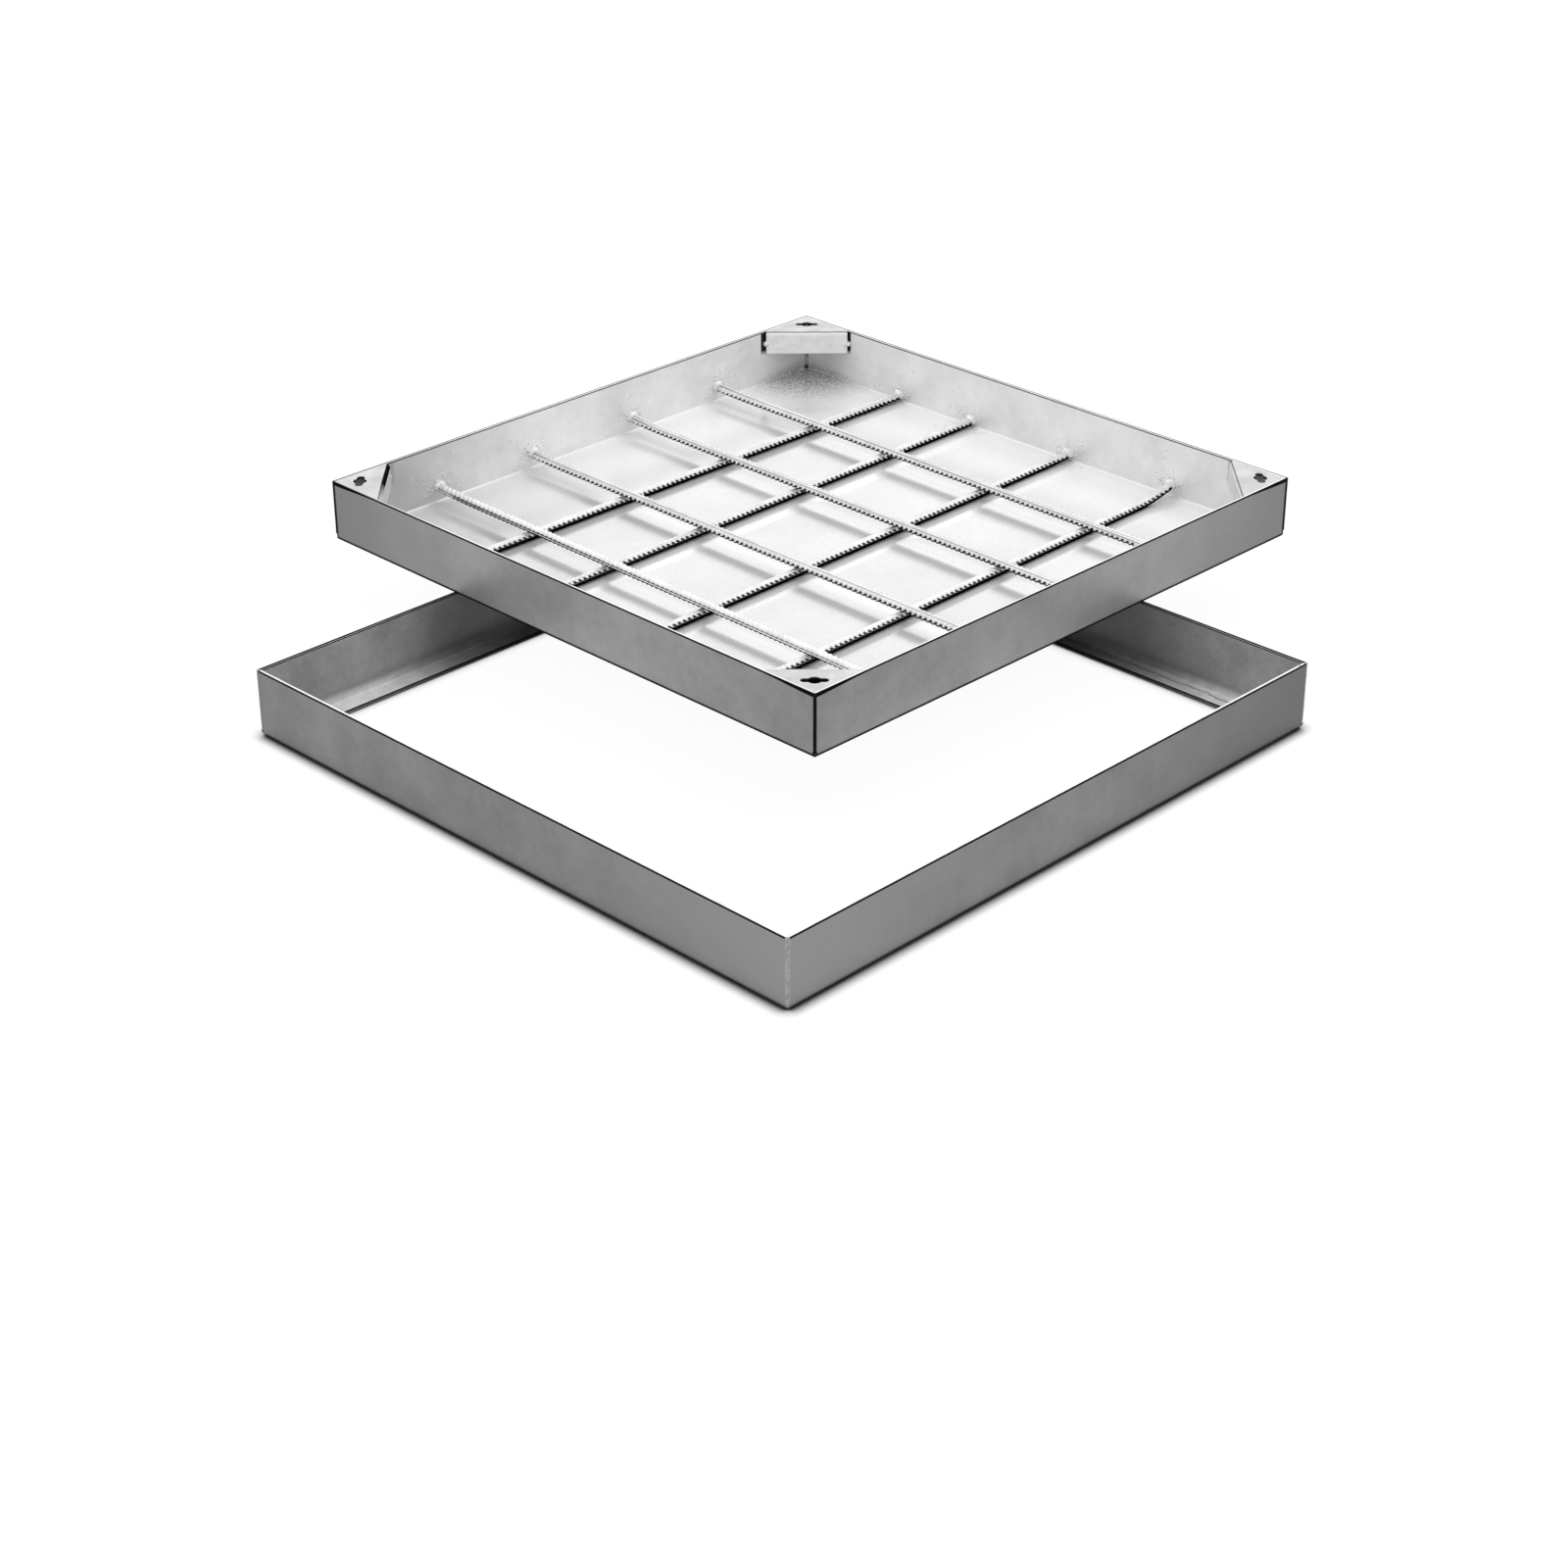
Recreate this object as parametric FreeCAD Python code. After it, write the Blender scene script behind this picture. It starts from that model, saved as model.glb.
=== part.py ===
import FreeCAD, Part
import math
import os

# Recessed paving cover, square, hot-dip galvanised steel. A tray folded from one sheet takes the
# paving, mortar and stone, over a grid of ribbed reinforcing bars. An angle frame is set in the
# ground around the opening, and the tray drops into it, down on its ledge. Here the tray is lifted
# out and lies on the frame's rim, pushed back over the right and back walls.
# Frame lengths: front is -Y, right is +X. The origin is the middle of the whole set's footprint,
# on the ground. All sizes are in millimetres.

Vector = FreeCAD.Vector
UP = Vector(0, 0, 1)

# Frame: four lengths of angle folded from sheet, mitred and welded at the corners
frame_side = 600.0
frame_height = 59.0
frame_sheet = 3.0
frame_fold = 2.0            # inside radius between wall and ledge
ledge_width = 20.0          # from the wall's outer face
frame_weld = 2.5            # width of the ground weld on each face of a corner
frame_weld_round = 1.0      # edge left by the grinding disc

# Tray: one sheet with its four sides folded up
tray_gap = 3.0              # between tray and frame wall, all round
tray_side = frame_side - 2 * (frame_sheet + tray_gap)
tray_height = frame_height - frame_sheet
tray_sheet = 2.5
tray_fold = 2.5             # inside radius between floor and side
seam_gap = 0.6              # where two folded sides meet at a corner
seam_depth = 1.0            # how far the corner weld stays below the outer edge
seam_bead = 2.5             # leg of the weld bead inside the corner
relief_radius = 2.0         # hole at the foot of the seam, which lets the fold end cleanly

# Corner plates: triangles welded flush into the tray's corners, with a lip folded down in front
plate_leg = 60.5            # along each side, from the inside corner
plate_sheet = 2.5
plate_fold = 2.0
lip_height = 22.0
lip_gap = 0.8               # between the lip's back edge and the side
lip_weld_drop = 12.0        # from the plate's top to the weld at the lip's end
lip_weld_length = 5.0
lip_weld_radius = 3.0

# Keyhole in each corner plate, a slot with a round hole in the middle, parallel to the lip
keyhole_setback = 22.0      # from the lip's face to the hole
keyhole_length = 22.5
keyhole_width = 7.0
keyhole_bore = 12.0

# Reinforcing bars: four on the floor along X, and four across them along Y
bar_diameter = 8.0
bar_end_gap = 2.5           # each bar is cut short of the sides, clear of the fold
turn_up_run = 32.0          # from the middle of the bend in a bar to its raised end
turn_up_ease = 12.0         # from the middle of that bend to where it begins and ends
end_weld_radius = 6.5       # foot of the weld, on the tray's side
end_weld_tip = 4.8          # where it runs out on the bar
end_weld_length = 4.5       # from the side along the bar
# The bars are laid by hand. Each has its drift from the even grid at its first end and at its
# last end, and how far the last end turns up.
lower_bar_lay = ((-4.0, 6.0, 6.0), (3.5, 10.5, 0.8), (8.5, 14.0, 0.5), (-6.0, -9.0, 0.8))
upper_bar_lay = ((-8.5, -3.5, 1.3), (-12.5, -9.0, 0.8), (-7.0, -2.5, 1.3), (-8.0, -6.0, 1.0))

# How the lifted tray lies on the frame: its middle from the frame's middle, and its turn
tray_shift_x = 198.0
tray_shift_y = 161.0
tray_turn = -0.4            # degrees

# Worked out from the sizes above
frame_half = frame_side / 2
frame_bend = frame_fold + frame_sheet
tray_half = tray_side / 2
tray_bend = tray_fold + tray_sheet
inner_half = tray_half - tray_sheet
plate_depth = plate_leg / math.sqrt(2)
lip_half = plate_depth - plate_sheet - lip_gap
corner_names = ("front_left", "front_right", "back_right", "back_left")


def prism(points, height):
    """A solid of the given height on a flat outline."""
    outline = Part.makePolygon(list(points) + [points[0]])
    return Part.Face(outline).extrude(UP * height)


def quarter_turned(shape, quarters):
    """The shape turned about the upright axis by whole quarter turns."""
    turned = shape.copy()
    turned.rotate(Vector(), UP, 90.0 * quarters)
    return turned


def all_corners(shape):
    """The shape made for the front left corner, copied to all four."""
    return [quarter_turned(shape, quarters) for quarters in range(4)]


def frame_rail():
    """Front length of the frame: an angle section with its outer fold round, mitred both ends."""
    outer, bend, sheet = -frame_half, frame_bend, frame_sheet
    back = outer + ledge_width
    turn = math.sqrt(0.5)

    def at(y, z):
        return Vector(-frame_half, y, z)

    outer_mid = at(outer + bend * (1 - turn), bend * (1 - turn))
    inner_mid = at(outer + bend - frame_fold * turn, bend - frame_fold * turn)
    edges = [
        Part.LineSegment(at(outer, frame_height), at(outer, bend)),
        Part.Arc(at(outer, bend), outer_mid, at(outer + bend, 0)),
        Part.LineSegment(at(outer + bend, 0), at(back, 0)),
        Part.LineSegment(at(back, 0), at(back, sheet)),
        Part.LineSegment(at(back, sheet), at(outer + bend, sheet)),
        Part.Arc(at(outer + bend, sheet), inner_mid, at(outer + sheet, bend)),
        Part.LineSegment(at(outer + sheet, bend), at(outer + sheet, frame_height)),
        Part.LineSegment(at(outer + sheet, frame_height), at(outer, frame_height)),
    ]
    section = Part.Face(Part.Wire([edge.toShape() for edge in edges]))
    length = section.extrude(Vector(frame_side, 0, 0))
    mitre = prism([Vector(outer, outer), Vector(-outer, outer), Vector()], frame_height)
    grooves = Part.makeCompound(all_corners(corner_groove()))
    return length.common(mitre).cut(grooves)


def corner_groove():
    """Square groove along a corner's outer edge, above the fold, that the weld fills."""
    foot = Vector(-frame_half, -frame_half, frame_bend)
    return Part.makeBox(frame_weld, frame_weld, frame_height - frame_bend, foot)


def frame_corner_weld():
    """Weld in a corner's groove, ground flush with both faces and eased on its edge."""
    weld = corner_groove()
    outer_edge = [
        edge for edge in weld.Edges
        if edge.BoundBox.XMax < 1e-6 - frame_half and edge.BoundBox.YMax < 1e-6 - frame_half
    ]
    return weld.makeFillet(frame_weld_round, outer_edge)


def folded_block(half, foot, bend):
    """Upright square block up to the tray's rim, with its four bottom edges rounded."""
    turn = math.sqrt(0.5)
    low = foot + bend * (1 - turn)
    side = half - bend * (1 - turn)

    def at(x, z):
        return Vector(x, -half, z)

    edges = [
        Part.LineSegment(at(-half, tray_height), at(-half, foot + bend)),
        Part.Arc(at(-half, foot + bend), at(-side, low), at(bend - half, foot)),
        Part.LineSegment(at(bend - half, foot), at(half - bend, foot)),
        Part.Arc(at(half - bend, foot), at(side, low), at(half, foot + bend)),
        Part.LineSegment(at(half, foot + bend), at(half, tray_height)),
        Part.LineSegment(at(half, tray_height), at(-half, tray_height)),
    ]
    section = Part.Face(Part.Wire([edge.toShape() for edge in edges]))
    along = section.extrude(Vector(0, 2 * half, 0))
    return along.common(quarter_turned(along, 1))


def tray_cavity():
    """The space inside the tray, down to its floor."""
    return folded_block(inner_half, tray_sheet, tray_fold)


def diagonal_strip(first, last, width, foot, top):
    """Upright strip on the front left diagonal, from one distance inside the corner to another."""
    strip = Part.makeBox(last - first, width, top - foot, Vector(first, -width / 2, foot))
    strip.rotate(Vector(), UP, 45)
    strip.translate(Vector(-tray_half, -tray_half, 0))
    return strip


def tray_pan():
    """Floor and four sides folded from one sheet, slit at each corner down to a round relief."""
    pan = folded_block(tray_half, 0, tray_bend).cut(tray_cavity())
    wall = tray_sheet * math.sqrt(2)
    slit = diagonal_strip(-wall, wall + seam_gap, seam_gap, tray_bend, tray_height)
    relief_foot = Vector(-tray_half, -tray_half, tray_bend)
    inwards = Vector(1, 1, 0).normalize()
    relief = Part.makeCylinder(relief_radius, 4 * wall, relief_foot - inwards * wall, inwards)
    return pan.cut(Part.makeCompound(all_corners(slit) + all_corners(relief)))


def tray_corner_weld():
    """Weld that fills a corner seam from inside, with a bead below the corner plate."""
    foot = tray_bend + relief_radius
    under_plate = tray_height - plate_sheet
    wall = tray_sheet * math.sqrt(2)
    filling = diagonal_strip(seam_depth, wall, seam_gap, foot, tray_height)
    root = diagonal_strip(seam_depth, wall + seam_bead / 2, seam_gap, foot, under_plate)
    inside = Vector(-inner_half, -inner_half, foot)
    along_x = inside + Vector(seam_bead, 0, 0)
    along_y = inside + Vector(0, seam_bead, 0)
    bead = prism([inside, along_x, along_y], under_plate - foot)
    return filling.multiFuse([root, bead]).removeSplitter()


def place_in_corner(shape):
    """Moves a shape drawn from an inside corner towards +X into the front left corner."""
    shape.rotate(Vector(), UP, 45)
    shape.translate(Vector(-inner_half, -inner_half, tray_height))
    return shape


def corner_plate():
    """Triangle with its front edge folded down as a lip, and the keyhole through its top."""
    front, sheet, bend = plate_depth, plate_sheet, plate_fold + plate_sheet
    turn = math.sqrt(0.5)

    def at(x, z):
        return Vector(x, -front, z)

    outer_mid = at(front - bend * (1 - turn), -bend * (1 - turn))
    inner_mid = at(front - bend + plate_fold * turn, -bend + plate_fold * turn)
    edges = [
        Part.LineSegment(at(0, 0), at(front - bend, 0)),
        Part.Arc(at(front - bend, 0), outer_mid, at(front, -bend)),
        Part.LineSegment(at(front, -bend), at(front, -lip_height)),
        Part.LineSegment(at(front, -lip_height), at(front - sheet, -lip_height)),
        Part.LineSegment(at(front - sheet, -lip_height), at(front - sheet, -bend)),
        Part.Arc(at(front - sheet, -bend), inner_mid, at(front - bend, -sheet)),
        Part.LineSegment(at(front - bend, -sheet), at(0, -sheet)),
        Part.LineSegment(at(0, -sheet), at(0, 0)),
    ]
    section = Part.Face(Part.Wire([edge.toShape() for edge in edges]))
    folded = section.extrude(Vector(0, 2 * front, 0))
    outline = prism(
        [
            Vector(0, 0, -lip_height),
            Vector(lip_half, -lip_half, -lip_height),
            Vector(front, -lip_half, -lip_height),
            Vector(front, lip_half, -lip_height),
            Vector(lip_half, lip_half, -lip_height),
        ],
        lip_height,
    )
    return place_in_corner(folded.common(outline).cut(keyhole()))


def keyhole():
    """Cutter for the keyhole: a slot with round ends and a larger hole in its middle."""
    middle = Vector(plate_depth - keyhole_setback, 0, -plate_sheet)
    radius = keyhole_width / 2
    reach = Vector(0, keyhole_length / 2 - radius, 0)
    corner = middle - reach - Vector(radius, 0, 0)
    slot = Part.makeBox(keyhole_width, 2 * reach.y, plate_sheet, corner)
    ends = [Part.makeCylinder(radius, plate_sheet, middle + end) for end in (reach, -reach)]
    bore = Part.makeCylinder(keyhole_bore / 2, plate_sheet, middle)
    return slot.multiFuse(ends + [bore])


def lip_welds(plate):
    """Two short welds that join the ends of a plate's lip to the tray's sides."""
    welds = []
    for side in (-1, 1):
        foot = Vector(lip_half + lip_gap, side * lip_half, -lip_weld_drop - lip_weld_length)
        bead = place_in_corner(Part.makeCylinder(lip_weld_radius, lip_weld_length, foot))
        welds.append(bead.common(tray_cavity()).cut(plate))
    return welds


def bar_ends(index, lay, count):
    """The first and last end of a bar in plan, along X, from its place in the even grid."""
    even = (index - (count - 1) / 2) * 2 * inner_half / (count + 1)
    reach = inner_half - bar_end_gap
    return Vector(-reach, even + lay[0], 0), Vector(reach, even + lay[1], 0)


def raised_course(first, last, rise):
    """The middle line of a bar that is straight until its last end bends up by the rise."""
    along = (last - first).normalize()
    bend = last - along * turn_up_run
    end = last + UP * rise
    upwards = (end - bend).normalize()
    turn = math.atan2(rise, turn_up_run)
    inwards = UP * math.cos(turn / 2) - along * math.sin(turn / 2)
    arc_start = bend - along * turn_up_ease
    arc_middle = bend + inwards * turn_up_ease * math.tan(turn / 4)
    arc_end = bend + upwards * turn_up_ease
    course = [
        Part.LineSegment(first, arc_start),
        Part.Arc(arc_start, arc_middle, arc_end),
        Part.LineSegment(arc_end, end),
    ]
    return Part.Wire([piece.toShape() for piece in course]), end, upwards


def end_weld(end, outwards, bar):
    """Weld over the top half of a bar's end: a cone round the bar, wide at the tray's side."""
    gap = (inner_half - abs(end.x)) / abs(outwards.x)
    tip = end + outwards * (gap - end_weld_length)
    spread = (end_weld_radius - end_weld_tip) / end_weld_length
    length = end_weld_length + tray_sheet
    foot_radius = end_weld_tip + spread * length
    cone = Part.makeCone(end_weld_tip, foot_radius, length, tip, outwards)
    reach = 2 * length + foot_radius
    above = Part.makeBox(2 * reach, 2 * reach, reach, end - Vector(reach, reach, 0))
    return cone.common(above).common(tray_cavity()).cut(bar)


def bar_layer(lays, height):
    """A layer of bars along X at one height, and the welds at both ends of each."""
    bars = []
    welds = []
    for index, lay in enumerate(lays):
        first, last = (end + UP * height for end in bar_ends(index, lay, len(lays)))
        course, end, upwards = raised_course(first, last, lay[2])
        backwards = (first - last).normalize()
        section = Part.Wire(Part.makeCircle(bar_diameter / 2, first, backwards))
        bar = course.makePipeShell([section], True, False)
        bars.append(bar)
        welds.append(end_weld(first, backwards, bar))
        welds.append(end_weld(end, upwards, bar))
    return bars, welds


def swapped(shape):
    """The shape with its X and Y changed over, so that a bar along X lies along Y."""
    return shape.mirror(Vector(), Vector(1, -1, 0))


def footprint_middle():
    """Middle of the whole set's box in plan, from the middle of the frame."""
    turn = math.radians(abs(tray_turn))
    reach = tray_half * (math.cos(turn) + math.sin(turn))
    middle = []
    for shift in (tray_shift_x, tray_shift_y):
        low = min(-frame_half, shift - reach)
        high = max(frame_half, shift + reach)
        middle.append((low + high) / 2)
    return Vector(middle[0], middle[1], 0)


def save(name, solids, placement):
    """Writes one piece, or a group of like pieces, in the set's own frame."""
    placed = []
    for solid in solids:
        copy = solid.copy()
        copy.Placement = placement.multiply(copy.Placement)
        placed.append(copy)
    shape = placed[0] if len(placed) == 1 else Part.makeCompound(placed)
    shape.exportStep(os.path.join("parts", name + ".step"))


def build():
    """Builds every piece and writes it to the parts folder."""
    os.makedirs("parts", exist_ok=True)
    middle = footprint_middle()
    frame_place = FreeCAD.Placement(-middle, FreeCAD.Rotation())
    tray_middle = Vector(tray_shift_x, tray_shift_y, frame_height) - middle
    tray_place = FreeCAD.Placement(tray_middle, FreeCAD.Rotation(UP, tray_turn))

    rail = frame_rail()
    for quarters, side in enumerate(("front", "right", "back", "left")):
        save("frame_rail_" + side, [quarter_turned(rail, quarters)], frame_place)
    save("frame_corner_welds", all_corners(frame_corner_weld()), frame_place)

    save("tray_pan", [tray_pan()], tray_place)
    save("tray_corner_welds", all_corners(tray_corner_weld()), tray_place)

    plate = corner_plate()
    for name, solid in zip(corner_names, all_corners(plate)):
        save("corner_plate_" + name, [solid], tray_place)
    plate_welds = [copy for weld in lip_welds(plate) for copy in all_corners(weld)]
    save("corner_plate_welds", plate_welds, tray_place)

    floor_height = tray_sheet + bar_diameter / 2
    lower_bars, lower_welds = bar_layer(lower_bar_lay, floor_height)
    for number, bar in enumerate(lower_bars, 1):
        save("lower_bar_" + str(number), [bar], tray_place)
    save("lower_bar_end_welds", lower_welds, tray_place)

    upper_bars, upper_welds = bar_layer(upper_bar_lay, floor_height + bar_diameter)
    for number, bar in enumerate(upper_bars, 1):
        save("upper_bar_" + str(number), [swapped(bar)], tray_place)
    save("upper_bar_end_welds", [swapped(weld) for weld in upper_welds], tray_place)


build()
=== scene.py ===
import math
import random
from collections import namedtuple

import bmesh
import bpy
from mathutils import Matrix, Quaternion, Vector, noise


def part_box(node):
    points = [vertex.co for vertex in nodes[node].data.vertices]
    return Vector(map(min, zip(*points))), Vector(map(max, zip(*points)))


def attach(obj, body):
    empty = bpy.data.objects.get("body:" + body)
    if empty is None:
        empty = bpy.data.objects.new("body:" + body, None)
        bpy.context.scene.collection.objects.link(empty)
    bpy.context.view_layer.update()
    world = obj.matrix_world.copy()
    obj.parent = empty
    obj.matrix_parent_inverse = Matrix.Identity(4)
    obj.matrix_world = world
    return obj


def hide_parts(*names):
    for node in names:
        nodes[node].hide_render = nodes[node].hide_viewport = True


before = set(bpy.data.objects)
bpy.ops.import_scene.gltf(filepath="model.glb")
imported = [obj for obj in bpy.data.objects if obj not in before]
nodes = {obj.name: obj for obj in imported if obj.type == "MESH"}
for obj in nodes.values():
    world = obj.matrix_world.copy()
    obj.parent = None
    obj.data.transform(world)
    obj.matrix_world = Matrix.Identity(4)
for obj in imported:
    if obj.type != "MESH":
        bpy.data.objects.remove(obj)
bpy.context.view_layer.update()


# Camera
# The object is seen from above its near corner, -X and -Y, through a long lens.

camera_data = bpy.data.cameras.new("camera")
camera_data.sensor_width = 36.0
camera_data.lens = 71.585
camera = bpy.data.objects.new("camera", camera_data)
bpy.context.collection.objects.link(camera)
eye = Vector((-1.7031, -1.6648, 1.1691))
aim = Vector((-0.2385, -0.2193, 0.0590))
roll = math.radians(-0.215)
camera.location = eye
camera.rotation_mode = "QUATERNION"
camera.rotation_quaternion = (aim - eye).to_track_quat("-Z", "Y") @ Quaternion((0, 0, 1), roll)
bpy.context.scene.camera = camera
bpy.context.scene.view_settings.view_transform = "Standard"


# Studio floor and light
# A white floor, a pale room that is brighter behind the object, and one large weak lamp high over its
# right side. Surfaces that face the camera's side therefore stay darker than those that face up, and
# the materials paint more of that light and shade into their colours.

def linear(code):
    """Linear colour of an sRGB hex value."""
    channels = [int(code[place:place + 2], 16) / 255 for place in (1, 3, 5)]
    return [c / 12.92 if c <= 0.04045 else ((c + 0.055) / 1.055) ** 2.4 for c in channels] + [1.0]


def add(tree, kind, inputs=None, **settings):
    """Adds one shader node with its settings; inputs take a value, a socket or a node."""
    node = tree.nodes.new("ShaderNode" + kind)
    for name, value in settings.items():
        setattr(node, name, value)
    for key, value in (inputs or {}).items():
        if isinstance(value, bpy.types.Node):
            value = value.outputs[0]
        if isinstance(value, bpy.types.NodeSocket):
            tree.links.new(value, node.inputs[key])
        else:
            node.inputs[key].default_value = value
    return node


def new_material(name):
    """An empty node material and its tree."""
    material = bpy.data.materials.new(name)
    material.use_nodes = True
    material.node_tree.nodes.clear()
    return material, material.node_tree


floor_half = 14.0
floor_mesh = bpy.data.meshes.new("studio_floor")
floor_mesh.from_pydata(
    [(-floor_half, -floor_half, 0), (floor_half, -floor_half, 0),
     (floor_half, floor_half, 0), (-floor_half, floor_half, 0)],
    [], [(0, 1, 2, 3)])
studio_floor = bpy.data.objects.new("studio_floor", floor_mesh)
bpy.context.collection.objects.link(studio_floor)

# White card: it shows as white, keeps part of the object's shadow and a dark line where the object
# stands on it, and lights like plain card
floor_glow = 0.93
front_low, front_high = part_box("frame_rail_front")
_, back_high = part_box("frame_rail_back")
frame_centre = Vector(((front_low.x + front_high.x) / 2, (front_low.y + back_high.y) / 2, 0))
frame_half = (front_high.x - front_low.x) * 500
ledge_width = 20.0
white_card, tree = new_material("white_card")
card = add(tree, "BsdfDiffuse", {"Color": linear("#F2F2F2")})
spot = add(tree, "TexCoord")
spot = add(tree, "VectorMath", {0: spot.outputs["Object"], 1: tuple(frame_centre)},
           operation="SUBTRACT")
spot = add(tree, "SeparateXYZ", {0: add(tree, "VectorMath", {0: spot}, operation="ABSOLUTE")})
reach = add(tree, "Math", {0: spot.outputs["X"], 1: spot.outputs["Y"]}, operation="MAXIMUM")
opening = add(tree, "Math", {0: reach, 1: (frame_half - ledge_width) / 1000}, operation="LESS_THAN")
# the shadow reaches no farther than 12 mm, and is deeper in the opening, along the thin ledge
deepest = add(tree, "MapRange", {"Value": opening, "To Min": 0.5, "To Max": 0.7})
contact = add(tree, "AmbientOcclusion", {"Distance": 0.012}, samples=8)
contact = add(tree, "MapRange", {"Value": contact.outputs["AO"], "From Min": deepest,
                                 "From Max": 0.98, "To Max": 1.03})
glow = add(tree, "Emission", {"Color": linear("#FFFFFF"), "Strength": contact})
path = add(tree, "LightPath")
seen = add(tree, "Math", {0: path.outputs["Is Camera Ray"], 1: path.outputs["Is Glossy Ray"]},
           operation="MAXIMUM")
seen = add(tree, "Math", {0: seen, 1: path.outputs["Is Transmission Ray"]}, operation="MAXIMUM")
share = add(tree, "Math", {0: seen, 1: floor_glow}, operation="MULTIPLY")
lit = add(tree, "MixShader", {0: share, 1: card, 2: glow})
add(tree, "OutputMaterial", {"Surface": lit})
floor_mesh.materials.append(white_card)

room = bpy.data.worlds.new("room")
bpy.context.scene.world = room
room.use_nodes = True
tree = room.node_tree
tree.nodes.clear()
way = add(tree, "TexCoord")
# how far a direction points to the back of the room, from -1 to 1
behind = add(tree, "VectorMath", {0: way.outputs["Generated"], 1: (0.5, 0.72, 0.48)},
             operation="DOT_PRODUCT")
spread = add(tree, "MapRange", {"Value": behind.outputs["Value"], "From Min": -0.55,
                                "From Max": 0.75, "To Min": 0.72, "To Max": 1.2},
             interpolation_type="SMOOTHSTEP")
sky = add(tree, "Background", {"Color": (1, 1, 1, 1), "Strength": spread})
add(tree, "OutputWorld", {"Surface": sky})

lamp_data = bpy.data.lights.new("soft_box", "AREA")
lamp_data.shape = "RECTANGLE"
lamp_data.size = 3.0
lamp_data.size_y = 3.0
lamp_data.energy = 24
soft_box = bpy.data.objects.new("soft_box", lamp_data)
soft_box.visible_glossy = False
bpy.context.collection.objects.link(soft_box)
soft_box.location = (1.6, -0.3, 2.7)
soft_box.rotation_mode = "QUATERNION"
soft_box.rotation_quaternion = (-soft_box.location).to_track_quat("-Z", "Y")


# Frame rails
# Four lengths of angle folded from 3 mm steel sheet and hot-dip galvanised after welding. The upright
# faces are painted an even grey and the ledge and the rim painted brighter, as painted light from
# above.

def dress(name, material):
    """Gives a node of the model its finish."""
    for slot in nodes[name].material_slots:
        slot.material = material


def place_in_mm(tree, centre=(0, 0, 0), turn=0.0):
    """Place on the object in millimetres, from a centre given in metres, square to that turn."""
    spot = add(tree, "TexCoord")
    return add(tree, "Mapping", {"Vector": spot.outputs["Object"], "Location": centre,
                                 "Rotation": (0, 0, turn), "Scale": (0.001, 0.001, 0.001)},
               vector_type="TEXTURE")


def zinc_coat(tree, place, dark, light, cloud_mm, grain_mm):
    """Colour of a zinc coat between two tones, in soft clouds with a faint grain of crystals."""
    cloud = add(tree, "TexNoise", {"Vector": place, "Scale": 1 / cloud_mm, "Detail": 4.0})
    cloud = add(tree, "MapRange", {"Value": cloud, "From Min": 0.3, "From Max": 0.7})
    crystal = add(tree, "TexVoronoi", {"Vector": place, "Scale": 1 / grain_mm})
    crystal = add(tree, "SeparateXYZ", {0: crystal.outputs["Color"]})
    crystal = add(tree, "MapRange", {"Value": crystal, "To Min": -0.15, "To Max": 0.15})
    tone = add(tree, "Math", {0: cloud, 1: crystal}, operation="ADD", use_clamp=True)
    return add(tree, "MixRGB", {"Fac": tone, "Color1": linear(dark), "Color2": linear(light)})


def facing_up(tree):
    """How far a face looks up, from -1 to 1."""
    face = add(tree, "NewGeometry")
    return add(tree, "SeparateXYZ", {0: face.outputs["Normal"]}).outputs["Z"]


def rough_skin(tree, place, per_mm, detail, strength, depth):
    """Relief of an uneven skin, with so many waves to the millimetre, and so deep in metres."""
    skin = add(tree, "TexNoise", {"Vector": place, "Scale": per_mm, "Detail": detail})
    return add(tree, "Bump", {"Height": skin, "Strength": strength, "Distance": depth})


frame_height = front_high.z * 1000

# Hot-dip galvanised steel: a satin metal with blurred reflections and clouds, painted darker on its
# upright faces and brighter where it faces up, as painted light and shade
frame_zinc, tree = new_material("hot_dip_galvanised_frame")
place = place_in_mm(tree, tuple(frame_centre))
wall_coat = zinc_coat(tree, place, "#767676", "#868686", 45.0, 6.0)
ledge_coat = zinc_coat(tree, place, "#E0E0E0", "#FAFAFA", 14.0, 3.0)
x, y, height = add(tree, "SeparateXYZ", {0: place}).outputs
far_way = add(tree, "Math", {0: x, 1: y}, operation="MAXIMUM")
to_middle = add(tree, "MapRange", {"Value": far_way, "From Min": -frame_half, "From Max": -60.0})
wall_coat = add(tree, "MixRGB", {"Fac": to_middle, "Color1": linear("#8E8E8E"), "Color2": wall_coat})
to_right = add(tree, "MapRange", {"Value": x, "From Min": 60.0, "From Max": frame_half})
wall_coat = add(tree, "MixRGB", {"Fac": to_right, "Color1": wall_coat, "Color2": linear("#646464")})
face_up = add(tree, "MapRange", {"Value": facing_up(tree), "From Min": 0.35, "From Max": 0.85},
              interpolation_type="SMOOTHSTEP")

# inner faces: mottled, with a painted highlight, bright and soft, at the fold, and a painted shadow
# under the tray, which reaches 40 mm farther along Y than along X
spot = add(tree, "VectorMath", {0: place}, operation="ABSOLUTE")
spot = add(tree, "SeparateXYZ", {0: spot})
reach = add(tree, "Math", {0: spot.outputs["X"], 1: spot.outputs["Y"]}, operation="MAXIMUM")
inner = add(tree, "MapRange", {"Value": reach, "From Min": frame_half - 2.8,
                               "From Max": frame_half - 2.4, "To Min": 1.0, "To Max": 0.0})
inner_coat = zinc_coat(tree, place, "#7E7E7E", "#9C9C9C", 35.0, 2.5)
near_fold = add(tree, "MapRange", {"Value": height, "From Min": 4.0, "From Max": 13.0,
                                   "To Min": 0.95, "To Max": 0.0}, interpolation_type="SMOOTHSTEP")
inner_coat = add(tree, "MixRGB", {"Fac": near_fold, "Color1": inner_coat, "Color2": ledge_coat})
wall_coat = add(tree, "MixRGB", {"Fac": inner, "Color1": wall_coat, "Color2": inner_coat})
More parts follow.
